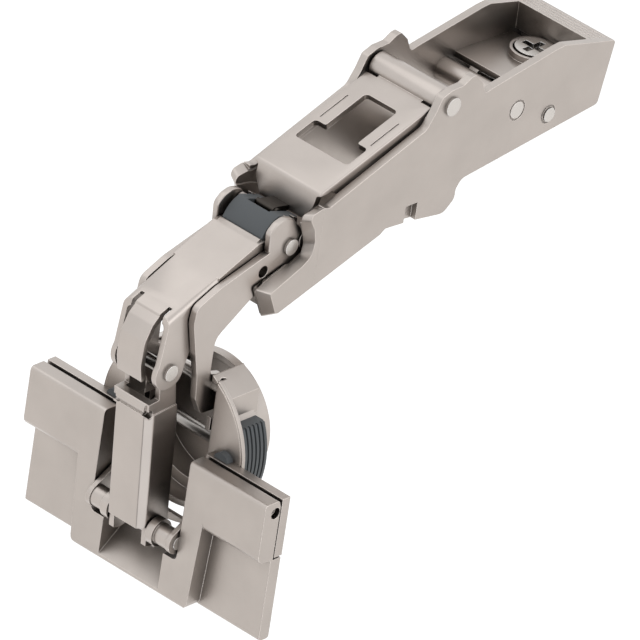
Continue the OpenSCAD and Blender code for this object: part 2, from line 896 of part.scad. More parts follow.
module arm_body() {
    color([0.74, 0.72, 0.69])
        difference() {
            union() {
                pair(arm_inner, arm_half)
                    arm_shape();
                arm_nose();
                pair(elbow_half + 0.2, arm_inner + 0.1)
                    disc(nose_pivot, 2.1);
                arm_floor();
                across(arm_half - 0.3)
                    grip_pad();
            }
            for (s = [-1, 1])
                rod(nose_pivot, s > 0 ? 5 : -arm_half + 1.2, s > 0 ? arm_half - 1.2 : -5, stud_r);
            rod(top_pivot, -20, 20, pin_r);
            rod(flush_at, -20, 20, 1.6);
            rod(catch_at, -20, 20, 1.4);
            for (s = [-1, 1]) {
                translate([43.9, s * (arm_half - 0.5) - 0.7, 30])
                    cube([3.2, 1.4, 8]);
                ring_groove(flush_at, s, 2.1);
                ring_groove(catch_at, s, 1.9);
            }
        }
}

// Shallow ring round a pin in the arm's outer face
module ring_groove(p, side, r) {
    plate(side > 0 ? arm_half - 0.25 : -arm_half - 1, 1.25)
        difference() {
            disc(p, r);
            disc(p, r - 0.35);
        }
}

// Sloping pad across the rear end, grooved for the finger that frees the arm
module grip_pad() {
    difference() {
        polygon([
            [90.8, 58.1], [96.8, 56.8], [96.4, 54.8], [92.6, 55.7], [91.9, 55.2], [91.7, 52.5],
            [90.9, 52.5], [90.8, 57]
        ]);
        for (i = [0:3])
            translate([92 + i * 1.2, 57.95 - i * 0.25])
                rotate(-12)
                    square([0.5, 0.5], center = true);
    }
}

flush_at = [71.5, 49.8];
catch_at = [80.7, 46.2];

module top_link_pin() {
    color([0.8, 0.78, 0.75]) {
        rod(top_pivot, -arm_half, arm_half, pin_r);
        rod(top_pivot, -arm_half - head_t, -arm_half, head_r + 0.2);
        rod(top_pivot, arm_half, arm_half + head_t, head_r + 0.2);
    }
}

module inner_pin(side) {
    color([0.8, 0.78, 0.75])
        rod(nose_pivot, side > 0 ? elbow_inner : -arm_half + 1.2, side > 0 ? arm_half - 1.2 : -elbow_inner, stud_r);
}

module inner_pin_left() {
    inner_pin(1);
}

module inner_pin_right() {
    inner_pin(-1);
}

screw_at = [86.3, 52.3];
latch_at = [91.6, 46.6];

module carriage_plate() {
    color([0.74, 0.72, 0.69])
        difference() {
            union() {
                across(arm_inner)
                    polygon([[74.5, 51.2], [90, 50.8], [90, 52.1], [74.5, 52.5]]);
                pair(2.5, 4.5)
                    polygon([[71.5, 47.7], [75.6, 51.3], [75.6, 52.2], [71.5, 48.8]]);
                rod(flush_at, -6.1, arm_inner, 2.3);
                translate([screw_at[0], 0, 51])
                    cylinder(h = 2.6, r = 4.5);
            }
            translate([screw_at[0], 0, 45])
                cylinder(h = 20, r = 2.3);
            translate([screw_at[0], 0, 52.3])
                cylinder(h = 4, r = 3.9);
            rod(flush_at, -20, 20, 1.6);
        }
}

module flush_pin() {
    color([0.8, 0.78, 0.75])
        rod(flush_at, -arm_half, arm_half, 1.6);
}

module catch_pin() {
    color([0.8, 0.78, 0.75])
        rod(catch_at, -arm_half - 0.4, arm_half + 0.4, 1.4);
}

module depth_screw() {
    color([0.8, 0.78, 0.75])
        translate([screw_at[0], 0, 0])
            difference() {
                union() {
                    translate([0, 0, 46])
                        cylinder(h = 6.6, r = 2.25);
                    translate([0, 0, 52.5])
                        cylinder(h = 1.4, r = 3.6);
                }
                translate([-0.65, -2.5, 52.9])
                    cube([1.3, 5, 2]);
                translate([-2.5, -0.65, 52.9])
                    cube([5, 1.3, 2]);
            }
}

module side_screw() {
    color([0.8, 0.78, 0.75])
        translate([76.4, 0, 0])
            difference() {
                translate([0, 0, 44])
                    cylinder(h = 6, r = 1.9);
                translate([-0.4, -1.4, 49])
                    cube([0.8, 2.8, 2]);
                translate([-1.4, -0.4, 49])
                    cube([2.8, 0.8, 2]);
            }
}

module release_latch() {
    color([0.74, 0.72, 0.69])
        difference() {
            across(arm_inner - 0.35)
                union() {
                    disc(latch_at, 1.9);
                    polygon([
                        latch_at + [-1.6, 0.6], latch_at + [1.9, 0], latch_at + [3.1, 3.4],
                        latch_at + [2.2, 6.6], latch_at + [0.9, 6.6], latch_at + [0.6, 3]
                    ]);
                }
            rod(latch_at, -20, 20, 1.25);
        }
}

cup_body();
flange_plate();
lever_axle_left();
lever_axle_right();
cup_front_pin();
pin_bush_left();
pin_bush_right();
closing_spring();
clamp_left();
clamp_right();
plug_left();
plug_right();
clamp_lever();
cup_link();
front_link();
front_link_pin();
centre_roller();
centre_pin_left();
centre_pin_right();
elbow_left();
elbow_right();
elbow_foot_pin();
top_link();
link_pin();
arm_body();
top_link_pin();
inner_pin_left();
inner_pin_right();
carriage_plate();
flush_pin();
catch_pin();
depth_screw();
side_screw();
release_latch();
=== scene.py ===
"""Visual model of a concealed cup hinge, dressed around its packed construction model."""

import logging
import math
from collections.abc import Sequence
from dataclasses import dataclass, field
from enum import Enum

import bmesh
import bpy
from mathutils import Matrix, Vector


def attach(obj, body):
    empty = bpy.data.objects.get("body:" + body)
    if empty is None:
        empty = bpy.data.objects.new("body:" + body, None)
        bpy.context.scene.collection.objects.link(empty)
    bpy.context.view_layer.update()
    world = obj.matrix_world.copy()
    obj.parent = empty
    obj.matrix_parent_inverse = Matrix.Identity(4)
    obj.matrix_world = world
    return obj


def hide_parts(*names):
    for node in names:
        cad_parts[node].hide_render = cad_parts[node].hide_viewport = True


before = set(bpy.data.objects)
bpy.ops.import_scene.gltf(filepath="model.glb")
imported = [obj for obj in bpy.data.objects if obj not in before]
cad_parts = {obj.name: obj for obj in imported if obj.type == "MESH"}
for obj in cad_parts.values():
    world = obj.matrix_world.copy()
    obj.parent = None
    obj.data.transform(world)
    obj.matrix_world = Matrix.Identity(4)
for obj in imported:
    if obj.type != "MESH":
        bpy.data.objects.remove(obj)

MM = 0.001
log = logging.getLogger("cup_hinge")

Triple = tuple[float, float, float]
Pair = tuple[float, float]

# The turns from an outline's axes to the hinge's, for outlines drawn from the side and from the end.
ACROSS = Matrix(((1, 0, 0, 0), (0, 0, 1, 0), (0, 1, 0, 0), (0, 0, 0, 1)))
ALONG = Matrix(((0, 0, 1, 0), (1, 0, 0, 0), (0, 1, 0, 0), (0, 0, 0, 1)))

# Points nearer than these are welded, in millimetres.
NODE_WELD = 0.001
LAST_WELD = 0.0005

# Edges sharper than these are rounded, or shaded as sharp, in degrees.
SOFTENED_ANGLE = 60
SMOOTH_ANGLE = 32

# A colour mix node's sockets, which have the same names as its hidden ones.
MIX_A = 6
MIX_B = 7
MIX_RESULT = 2

SENSOR_MM = 36.0


class Finish(Enum):
    """The finishes that the hinge's pieces come in."""

    CAST_NICKEL = "cast nickel"
    SHEET_NICKEL = "sheet nickel"
    PIN_STEEL = "pin steel"
    SPRING_WIRE = "spring wire"
    SLATE_PLASTIC = "slate plastic"
    # Near-black steel: painted shade for the tongue deep in the cover's notch.
    PAINTED_SHADE_STEEL = "painted shade steel"


def new_material(name: str) -> bpy.types.Material:
    """Makes a material with nodes, ready for a recipe."""
    mat = bpy.data.materials.new(name)
    mat.use_nodes = True
    return mat


def noise(
    tree: bpy.types.NodeTree, place: bpy.types.Node, grain_mm: float, detail: float = 2.0
) -> bpy.types.NodeSocket:
    """Adds a noise pattern that is fixed to the piece.

    Args:
        tree: The material's nodes.
        place: The texture coordinates.
        grain_mm: The size of its patches, in millimetres.
        detail: How much finer noise is laid over them.

    Returns:
        The output that holds the pattern.
    """
    cloud = tree.nodes.new("ShaderNodeTexNoise")
    cloud.inputs["Scale"].default_value = 1.0 / (grain_mm * MM)
    cloud.inputs["Detail"].default_value = detail
    tree.links.new(place.outputs["Object"], cloud.inputs["Vector"])
    return cloud.outputs["Fac"]


def vary_roughness(
    tree: bpy.types.NodeTree, pattern: bpy.types.NodeSocket, middle: float, share: float
) -> None:
    """Lets a pattern vary the surface's roughness.

    Args:
        tree: The material's nodes.
        pattern: The output that holds the pattern.
        middle: The roughness in the middle of its range.
        share: How far it strays, as a share of the middle.
    """
    spread = tree.nodes.new("ShaderNodeMapRange")
    spread.inputs["To Min"].default_value = middle * (1 - share)
    spread.inputs["To Max"].default_value = middle * (1 + share)
    tree.links.new(pattern, spread.inputs["Value"])
    tree.links.new(spread.outputs["Result"], tree.nodes["Principled BSDF"].inputs["Roughness"])


def add_bump(
    tree: bpy.types.NodeTree, pattern: bpy.types.NodeSocket, strength: float, height_mm: float
) -> bpy.types.Node:
    """Lets a pattern roughen the surface's direction.

    Args:
        tree: The material's nodes.
        pattern: The output that holds the pattern.
        strength: How much of it shows.
        height_mm: The height of its bumps, in millimetres.

    Returns:
        The bump node.
    """
    bump = tree.nodes.new("ShaderNodeBump")
    bump.inputs["Strength"].default_value = strength
    bump.inputs["Distance"].default_value = height_mm * MM
    tree.links.new(pattern, bump.inputs["Height"])
    tree.links.new(bump.outputs["Normal"], tree.nodes["Principled BSDF"].inputs["Normal"])
    return bump


def add_bevel(tree: bpy.types.NodeTree, radius_mm: float) -> bpy.types.NodeSocket:
    """Adds the surface's direction as it would be with rounded edges.

    Args:
        tree: The material's nodes.
        radius_mm: The radius of the edges, in millimetres.

    Returns:
        The output that holds the direction.
    """
    bevel = tree.nodes.new("ShaderNodeBevel")
    bevel.samples = 6
    bevel.inputs["Radius"].default_value = radius_mm * MM
    return bevel.outputs["Normal"]


@dataclass(frozen=True)
class SatinMetal:
    """Nickel plate or bare steel with a fine grain that softens its reflections."""

    name: str
    colour: Triple
    roughness: float
    grain_mm: float
    grain_depth: float
    edge_mm: float
    grain_height_mm: float = 0.03
    patch: float = 0.04
    patch_mm: float = 9
    patch_span: Pair = (0.3, 0.7)
    # Painted shade: ambient occlusion darkens the colour in nooks, down to this share.
    painted_nook_shade: float = 0.22
    painted_nook_shade_mm: float = 9
    painted_nook_shade_span: Pair = (0.15, 0.85)
    # Painted highlight, with some edge wear: the colour is brightened along the edges by these settings.
    edge_highlight_lift: float = 1.7
    edge_highlight_reach: float = 0.9
    edge_highlight_span: Pair = (0.985, 0.86)
    edge_highlight_most: float = 0.8
    gloss_mm: float = 2.5
    gloss_share: float = 0.18

    def material(self) -> bpy.types.Material:
        """Builds the node material.

        Returns:
            The finished material, ready for a mesh's slot.
        """
        mat = new_material(self.name)
        tree = mat.node_tree
        tree.nodes["Principled BSDF"].inputs["Metallic"].default_value = 1.0
        place = tree.nodes.new("ShaderNodeTexCoord")
        self._tint(tree, place)
        vary_roughness(tree, noise(tree, place, self.gloss_mm, 4.0), self.roughness, self.gloss_share)
        grain = noise(tree, place, self.grain_mm)
        bump = add_bump(tree, grain, self.grain_depth, self.grain_height_mm)
        tree.links.new(add_bevel(tree, self.edge_mm), bump.inputs["Normal"])
        return mat

    def _tint(self, tree: bpy.types.NodeTree, place: bpy.types.Node) -> None:
        """Lets the colour drift, paints shade into the nooks and paints a highlight along the edges.

        Args:
            tree: The material's nodes.
            place: The texture coordinates.
        """
        ramp = tree.nodes.new("ShaderNodeValToRGB")
        for end, sign, position in zip(ramp.color_ramp.elements, (-1, 1), self.patch_span):
            end.position = position
            end.color = (*(min(1.0, c * (1 + sign * self.patch)) for c in self.colour), 1)
        tree.links.new(noise(tree, place, self.patch_mm, 3.0), ramp.inputs["Fac"])
        shade = tree.nodes.new("ShaderNodeMix")
        shade.data_type = "RGBA"
        shade.blend_type = "MULTIPLY"
        shade.inputs["Factor"].default_value = 1.0
        tree.links.new(ramp.outputs["Color"], shade.inputs[MIX_A])
        # Painted shade: the colour is multiplied by the ambient occlusion, so nooks come out darker.
        tree.links.new(self._painted_nook_shade(tree), shade.inputs[MIX_B])
        # Painted highlight, with some edge wear: the colour is lifted towards a brighter tone along the
        # edges.
        edge_highlighted = tree.nodes.new("ShaderNodeMix")
        edge_highlighted.data_type = "RGBA"
        edge_highlighted.inputs[MIX_B].default_value = (*(min(1.0, c * self.edge_highlight_lift) for c in self.colour), 1)
        tree.links.new(self._painted_edge_highlight(tree), edge_highlighted.inputs["Factor"])
        tree.links.new(shade.outputs[MIX_RESULT], edge_highlighted.inputs[MIX_A])
        tree.links.new(edge_highlighted.outputs[MIX_RESULT], tree.nodes["Principled BSDF"].inputs["Base Color"])

    def _painted_nook_shade(self, tree: bpy.types.NodeTree) -> bpy.types.NodeSocket:
        """Finds the nooks, where little light gets in, so that shade can be painted into the colour there.

        Args:
            tree: The material's nodes.

        Returns:
            The output that is low in a nook and 1 on an open face.
        """
        # Painted shade: this occlusion darkens the base colour, standing in for shade in the nooks.
        painted_nook_shade = tree.nodes.new("ShaderNodeAmbientOcclusion")
        painted_nook_shade.samples = 8
        painted_nook_shade.inputs["Distance"].default_value = self.painted_nook_shade_mm * MM
        depth = tree.nodes.new("ShaderNodeMapRange")
        depth.inputs["From Min"].default_value = self.painted_nook_shade_span[0]
        depth.inputs["From Max"].default_value = self.painted_nook_shade_span[1]
        depth.inputs["To Min"].default_value = self.painted_nook_shade
        tree.links.new(painted_nook_shade.outputs["AO"], depth.inputs["Value"])
        return depth.outputs["Result"]

    def _painted_edge_highlight(self, tree: bpy.types.NodeTree) -> bpy.types.NodeSocket:
        """Finds the edges, where a highlight is painted into the colour, together with some polish from
        handling.

        Args:
            tree: The material's nodes.

        Returns:
            The output that is high on an edge and 0 on a face.
        """
        flat = tree.nodes.new("ShaderNodeNewGeometry")
        turn = tree.nodes.new("ShaderNodeVectorMath")
        turn.operation = "DOT_PRODUCT"
        span = tree.nodes.new("ShaderNodeMapRange")
        span.inputs["From Min"].default_value = self.edge_highlight_span[0]
        span.inputs["From Max"].default_value = self.edge_highlight_span[1]
        span.inputs["To Max"].default_value = self.edge_highlight_most
        tree.links.new(flat.outputs["Normal"], turn.inputs[0])
        tree.links.new(add_bevel(tree, self.edge_mm * self.edge_highlight_reach), turn.inputs[1])
        tree.links.new(turn.outputs["Value"], span.inputs["Value"])
        return span.outputs["Result"]


@dataclass(frozen=True)
class MouldedPlastic:
    """Slate grey plastic with the faint texture of its mould."""

    name: str
    colour: Triple
    roughness: float
    grain_mm: float = 0.35
    grain_depth: float = 0.2
    grain_height_mm: float = 0.02
    gloss_share: float = 0.15

    def material(self) -> bpy.types.Material:
        """Builds the node material.

        Returns:
            The finished material, ready for a mesh's slot.
        """
        mat = new_material(self.name)
        tree = mat.node_tree
        tree.nodes["Principled BSDF"].inputs["Base Color"].default_value = (*self.colour, 1)
        grain = noise(tree, tree.nodes.new("ShaderNodeTexCoord"), self.grain_mm)
        vary_roughness(tree, grain, self.roughness, self.gloss_share)
        add_bump(tree, grain, self.grain_depth, self.grain_height_mm)
        return mat


@dataclass
class FinishBook:
    """Makes each finish once and hands it out by name."""

    made: dict[Finish, bpy.types.Material] = field(default_factory=dict)

    def recipe(self, finish: Finish) -> SatinMetal | MouldedPlastic:
        """Looks up how a finish is made.

        Args:
            finish: The finish that is wanted.

        Returns:
            The recipe for its material.
        """
        recipes: dict[Finish, SatinMetal | MouldedPlastic] = {
            Finish.CAST_NICKEL: SatinMetal("Cast nickel", (0.52, 0.475, 0.442), 0.36, 0.17, 0.60, 0.22),
            Finish.SHEET_NICKEL: SatinMetal("Sheet nickel", (0.53, 0.483, 0.45), 0.31, 0.22, 0.40, 0.18),
            Finish.PIN_STEEL: SatinMetal("Pin steel", (0.66, 0.63, 0.60), 0.24, 0.3, 0.10, 0.15),
            Finish.SPRING_WIRE: SatinMetal("Spring wire", (0.45, 0.43, 0.41), 0.28, 0.3, 0.10, 0.05),
            # Near-black steel: painted shade for the tongue in the cover's notch.
            Finish.PAINTED_SHADE_STEEL: SatinMetal("Painted shade steel", (0.07, 0.062, 0.055), 0.45, 0.3, 0.10, 0.05),
            Finish.SLATE_PLASTIC: MouldedPlastic("Slate plastic", (0.108, 0.118, 0.125), 0.48),
        }
        return recipes[finish]

    def get(self, finish: Finish) -> bpy.types.Material:
        """Gives the material of a finish, making it on first use.

        Args:
            finish: The finish that is wanted.

        Returns:
            The one material of that finish.
        """
        if finish not in self.made:
            self.made[finish] = self.recipe(finish).material()
        return self.made[finish]


@dataclass
class Assembly:
    """A group of construction pieces that are dressed together."""

    book: FinishBook
    finishes: dict[str, Finish] = field(default_factory=dict)

    def dress(self) -> None:
        """Gives every piece of the group its finish."""
        for node, finish in self.finishes.items():
            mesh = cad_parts[node].data
            mesh.materials.clear()
            mesh.materials.append(self.book.get(finish))
            log.info("dressed %s in %s", node, finish.value)


@dataclass
class CupUnit(Assembly):
    """The cup with its flange, clamps, pins and closing spring."""

    def __post_init__(self) -> None:
        """Sets the finish of each piece of the cup."""
        self.finishes = {
            "cup_body": Finish.CAST_NICKEL,
            "flange_plate": Finish.CAST_NICKEL,
            "lever_axle_left": Finish.PIN_STEEL,
            "lever_axle_right": Finish.PIN_STEEL,
            "cup_front_pin": Finish.PIN_STEEL,
            "pin_bush_left": Finish.SHEET_NICKEL,
            "pin_bush_right": Finish.SHEET_NICKEL,
            "closing_spring": Finish.SPRING_WIRE,
            "clamp_left": Finish.SLATE_PLASTIC,
            "clamp_right": Finish.SLATE_PLASTIC,
            "plug_left": Finish.SLATE_PLASTIC,
            "plug_right": Finish.SLATE_PLASTIC,
            "clamp_lever": Finish.CAST_NICKEL,
        }


@dataclass
class LinkTrain(Assembly):
    """The folding links between the cup and the arm."""

    def __post_init__(self) -> None:
        """Sets the finish of each link and pin that isn't replaced below."""
        self.finishes = {
            "cup_link": Finish.SHEET_NICKEL,
            "front_link_pin": Finish.PIN_STEEL,
            "centre_pin_left": Finish.PIN_STEEL,
            "centre_pin_right": Finish.PIN_STEEL,
            "elbow_foot_pin": Finish.PIN_STEEL,
        }


@dataclass
class ClipArm(Assembly):
    """The arm with its carriage, screws and rear latch."""

    def __post_init__(self) -> None:
        """Sets the finish of each piece of the arm that isn't replaced below."""
        self.finishes = {
            "top_link_pin": Finish.PIN_STEEL,
            "inner_pin_left": Finish.PIN_STEEL,
            "inner_pin_right": Finish.PIN_STEEL,
            "carriage_plate": Finish.SHEET_NICKEL,
            "flush_pin": Finish.PIN_STEEL,
            "catch_pin": Finish.PIN_STEEL,
            "depth_screw": Finish.PIN_STEEL,
            "side_screw": Finish.PIN_STEEL,
            "release_latch": Finish.SHEET_NICKEL,
        }


def round_corners(points: Sequence[Triple], steps: int = 5) -> list[Pair]:
    """Rounds the corners of an outline.

    Args:
        points: Each corner's two coordinates and its radius.
        steps: How many straight pieces a round corner has.

    Returns:
        The points of the rounded outline.
    """
    outline: list[Pair] = []
    for i, (a, b, radius) in enumerate(points):
        here = Vector((a, b))
        back = Vector(points[i - 1][:2]) - here
        ahead = Vector(points[(i + 1) % len(points)][:2]) - here
        if radius <= 0:
            outline.append((a, b))
            continue
        half = math.acos(max(-1.0, min(1.0, back.normalized().dot(ahead.normalized())))) / 2
        reach = min(radius / math.tan(half), 0.49 * back.length, 0.49 * ahead.length)
        radius = reach * math.tan(half)
        inward = (back.normalized() + ahead.normalized()).normalized()
        middle = here + inward * (radius / math.sin(half))
        start = here + back.normalized() * reach - middle
        end = here + ahead.normalized() * reach - middle
        first = math.atan2(start.y, start.x)
        turn = (math.atan2(end.y, end.x) - first + math.pi) % (2 * math.pi) - math.pi
        for step in range(steps + 1):
            angle = first + turn * step / steps
            outline.append((middle.x + radius * math.cos(angle), middle.y + radius * math.sin(angle)))
    return outline


def arc(centre: Pair, radius: float, first: float, last: float, steps: int = 24) -> list[Pair]:
    """Lays points along an arc.

    Args:
        centre: The arc's centre.
        radius: Its radius.
        first: The angle it starts at, in degrees.
        last: The angle it ends at, in degrees.
        steps: How many straight pieces it has.

    Returns:
        The points of the arc.
    """
    angles = [math.radians(first + (last - first) * i / steps) for i in range(steps + 1)]
    return [(centre[0] + radius * math.cos(a), centre[1] + radius * math.sin(a)) for a in angles]


def ring(centre: Pair, radius: float, count: int = 24) -> list[Pair]:
    """Lays points round a whole circle.

    Args:
        centre: The circle's centre.
        radius: Its radius.
        count: How many points it has.

    Returns:
        The points of the circle.
    """
    return arc(centre, radius, 0, 360 * (count - 1) / count, count - 1)


def mirrored(corners: Sequence[Triple]) -> list[Triple]:
    """Repeats one side's corners on the other side, to close an outline.

    Args:
        corners: The corners below the middle line, each with its radius.

    Returns:
        The corners of the whole outline.
    """
    return [*corners, *((a, -b, r) for a, b, r in reversed(corners))]


@dataclass
class Solid:
    """A closed mesh that is cut and joined until it has its shape."""

    name: str
    body: bpy.types.Object | None = None

    def _show(self, shape: bmesh.types.BMesh) -> None:
        """Turns an open mesh into this solid's object in the scene.

        Args:
            shape: The open mesh, which is used up.
        """
        mesh = bpy.data.meshes.new(self.name)
        shape.to_mesh(mesh)
        shape.free()
        self.body = bpy.data.objects.new(self.name, mesh)
        bpy.context.scene.collection.objects.link(self.body)

    def prism(
        self,
        outline: Sequence[Pair],
        low: float,
        high: float,
        place: Matrix = ACROSS,
        far: Sequence[Pair] | None = None,
    ) -> "Solid":
        """Makes the solid that runs from an outline to the same or another outline.

        Args:
            outline: The points of the low end, in millimetres.
            low: Where the low end stands.
            high: Where the high end stands.
            place: The turn from the outline's axes to the hinge's.
            far: The points of the high end, where it differs.

        Returns:
            This solid.
        """
        shape = bmesh.new()
        start = [shape.verts.new(place @ Vector((a, b, low)) * MM) for a, b in outline]
        end = [shape.verts.new(place @ Vector((a, b, high)) * MM) for a, b in far or outline]
        shape.faces.new(start)
        shape.faces.new(list(reversed(end)))
        for i in range(len(start)):
            j = (i + 1) % len(start)
            shape.faces.new((start[j], start[i], end[i], end[j]))
        bmesh.ops.recalc_face_normals(shape, faces=shape.faces)
        self._show(shape)
        return self

    def from_node(self, node: str) -> "Solid":
        """Starts from a copy of a construction piece.

        Args:
            node: The construction piece.

        Returns:
            This solid.
        """
        shape = bmesh.new()
        shape.from_mesh(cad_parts[node].data)
        bmesh.ops.remove_doubles(shape, verts=shape.verts, dist=NODE_WELD * MM)
        self._show(shape)
        return self

    def soften(self, width: float) -> "Solid":
        """Rounds the solid's sharp edges.

        Args:
            width: How far the round reaches, in millimetres.

        Returns:
            This solid.
        """
        bevel = self.body.modifiers.new("edges", "BEVEL")
        bevel.width = width * MM
        bevel.segments = 3
        bevel.limit_method = "ANGLE"
        bevel.angle_limit = math.radians(SOFTENED_ANGLE)
        self._apply()
        return self

    def _apply(self) -> None:
        """Turns the modifiers into plain mesh."""
        graph = bpy.context.evaluated_depsgraph_get()
        mesh = bpy.data.meshes.new_from_object(self.body.evaluated_get(graph))
        self.body.modifiers.clear()
        self.body.data = mesh

    def _work(self, tool: "Solid", how: str) -> "Solid":
        """Joins or cuts with another solid, which is used up.

        Args:
            tool: The other solid.
            how: The name of the operation.

        Returns:
            This solid.
        """
        change = self.body.modifiers.new("work", "BOOLEAN")
        change.operation = how
        change.solver = "EXACT"
        change.object = tool.body
        self._apply()
        bpy.data.objects.remove(tool.body)
        return self

    def join(self, tool: "Solid") -> "Solid":
        """Adds another solid."""
        return self._work(tool, "UNION")

    def cut(self, tool: "Solid") -> "Solid":
        """Takes another solid away."""
        return self._work(tool, "DIFFERENCE")

    def finish(self, material: bpy.types.Material, rides: str, *stands_for: str) -> None:
        """Shades the solid, gives it its finish and lets it ride.

        Args:
            material: Its finish.
            rides: The body that carries it.
            stands_for: The construction pieces that it replaces.
        """
        shape = bmesh.new()
        shape.from_mesh(self.body.data)
        bmesh.ops.remove_doubles(shape, verts=shape.verts, dist=LAST_WELD * MM)
        bmesh.ops.dissolve_degenerate(shape, edges=shape.edges, dist=LAST_WELD * MM)
        for face in shape.faces:
            face.smooth = True
            face.material_index = 0
        for edge in shape.edges:
            shared = len(edge.link_faces) == 2
            edge.smooth = shared and edge.calc_face_angle(0.0) < math.radians(SMOOTH_ANGLE)
        mesh = bpy.data.meshes.new(self.name)
        shape.to_mesh(mesh)
        shape.free()
        if "custom_normal" in mesh.attributes:
            mesh.attributes.remove(mesh.attributes["custom_normal"])
        self.body.data = mesh
        mesh.materials.append(material)
        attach(self.body, rides)
        if stands_for:
            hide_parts(*stands_for)
        log.info("built %s on %s, %d faces", self.name, rides, len(mesh.polygons))


@dataclass
class TopSheet:
    """The bent sheet of the top link, with its flap, rolled end and tongue."""

    book: FinishBook
    half: float = 8.2
    thick: float = 1.2
    low: Pair = (22.0, 46.5)
    high: Pair = (50.4, 56.36)
    flap_foot: Pair = (20.7, 40.5)
    flap_half: float = 7.2
    tail: Pair = (17.3, 41.5)
    pin_radius: float = 0.65
    barrel: Pair = (52.5, 56.4)
    barrel_radius: float = 2.7
    bore_radius: float = 1.35
    edge: float = 0.28
    window: tuple[Triple, ...] = (
        (8.3, -6.6, 0.8), (13.8, -6.6, 0.8), (13.8, -4.0, 0.4), (24.5, -4.0, 0.9),
    )
    groove_span: Pair = (14.8, 22.2)
    groove_y: float = 6.35
    groove_half: float = 0.16
    groove_depth: float = 0.25
    notch_y: float = 6.9
    notch_half: float = 1.4
    side_wall: float = 1.0
    span: float = field(init=False)
    along: Vector = field(init=False)
    up: Vector = field(init=False)

    def __post_init__(self) -> None:
        """Works out the sheet's own axes from its two ends."""
        along = Vector((self.high[0] - self.low[0], 0, self.high[1] - self.low[1]))
        self.span = along.length
        self.along = along.normalized()
        self.up = Vector((-self.along.z, 0, self.along.x))

    def build(self) -> None:
        """Builds the sheet and its tongue."""
        sheet = Solid("top_link_sheet").prism(self._profile(), -self.half, self.half)
        sheet.soften(self.edge)
        for side in (-1, 1):
            sheet.join(self._side(side))
        sheet.cut(Solid("window").prism(round_corners(mirrored(self.window)), -4, 4, self._onto()))
        for side in (-1, 1):
            sheet.cut(self._groove(side))
            sheet.cut(self._notch(side))
            sheet.cut(self._corner(side))
        roll = Solid("roll").prism(ring(self.barrel, self.barrel_radius, 48), -self.half, self.half)
        sheet.join(roll.soften(0.2))
        sheet.cut(Solid("bore").prism(ring(self.barrel, self.bore_radius), -12, 12))
        sheet.finish(self.book.get(Finish.SHEET_NICKEL), "top_link", "top_link")
        self._build_tongue()

    def _onto(self, flat: bool = True) -> Matrix:
        """Gives the turn from the sheet's own axes to the hinge's.

        Args:
            flat: Whether outlines lie in the sheet, or stand along its side.

        Returns:
            The turn, with its start at the sheet's low end.
        """
        side = Vector((0, 1, 0))
        axes = (self.along, side, self.up) if flat else (self.along, self.up, side)
        turn = Matrix(axes).transposed().to_4x4()
        turn.translation = Vector((self.low[0], 0, self.low[1]))
        return turn

    def _profile(self) -> list[Pair]:
        """Draws the sheet and its flap from the side, with their round bend."""
        foot_x, foot_z = self.flap_foot
        under = Vector((self.low[0], 0, self.low[1])) - self.up * self.thick
        return round_corners([
            (self.high[0], self.high[1], 0), (self.low[0] - 0.1, self.low[1], 0.9),
            (foot_x, foot_z, 0.3), (foot_x + self.thick, foot_z - 0.1, 0.3),
            (under.x + 0.95, under.z + 0.2, 0.5),
            (self.high[0] - self.up.x * self.thick, self.high[1] - self.up.z * self.thick, 0),
        ], 6)

    def _side(self, side: int) -> Solid:
        """Makes the short wall that is bent down along one side."""
        strip = round_corners([
            (2.2, -0.5, 0), (self.span - 3, -0.5, 0), (self.span - 3, -2.7, 0.6), (3.4, -2.7, 1.2),
        ])
        low, high = sorted((side * self.half, side * (self.half - self.side_wall)))
        return Solid("side").prism(strip, low, high, self._onto(flat=False))

    def _groove(self, side: int) -> Solid:
        """Makes the cutter of the long shallow groove beside the window."""
        start, end = self.groove_span
        low, high = side * self.groove_y - self.groove_half, side * self.groove_y + self.groove_half
        outline = round_corners([(start, low, 0.1), (end, low, 0.1), (end, high, 0.1), (start, high, 0.1)])
        return Solid("groove").prism(outline, -self.groove_depth, 2, self._onto())

    def _notch(self, side: int) -> Solid:
        """Makes the cutter of the notch beside the rolled end."""
        start, end = self.span - 1.2, self.span + 3
        low, high = side * self.notch_y - self.notch_half, side * self.notch_y + self.notch_half
        outline = [(start, low), (end, low), (end, high), (start, high)]
        return Solid("notch").prism(outline, -4, 4, self._onto())

    def _corner(self, side: int) -> Solid:
        """Makes the cutter that rounds one lower corner of the flap."""
        wide = side * (self.half + 1)
        outline = round_corners([
            (wide, 46.3, 0), (side * (self.flap_half + 0.1), 45.6, 0.6), (side * self.flap_half, 43.4, 2.5),
            (side * 4.6, 39.9, 1.5), (side * 4.0, 38, 0), (wide, 38, 0),
        ], 8)
        return Solid("corner").prism(outline, 15, 23.6, ALONG)

    def _build_tongue(self) -> None:
        """Builds the tongue that holds the hidden pin in the cover's notch, coloured near black as painted
        shade in the notch.
        """
        x, z = self.tail
        foot_x, foot_z = self.flap_foot[0] + 0.9, self.flap_foot[1]
        outline = round_corners([
            (x - 0.9, z - 0.9, 0.9), (x - 1.0, z + 0.8, 0.9), (x + 0.6, z + 0.7, 0.8),
            (foot_x, foot_z + 1.0, 0), (foot_x, foot_z + 0.2, 0), (x + 0.9, z - 1.1, 0.8),
        ])
        tongue = Solid("top_link_tongue").prism(outline, -2, 2)
        tongue.join(Solid("pin").prism(ring(self.tail, self.pin_radius), -2.6, 2.6))
        # The near-black finish is painted shade for the notch.
        tongue.finish(self.book.get(Finish.PAINTED_SHADE_STEEL), "top_link", "link_pin")


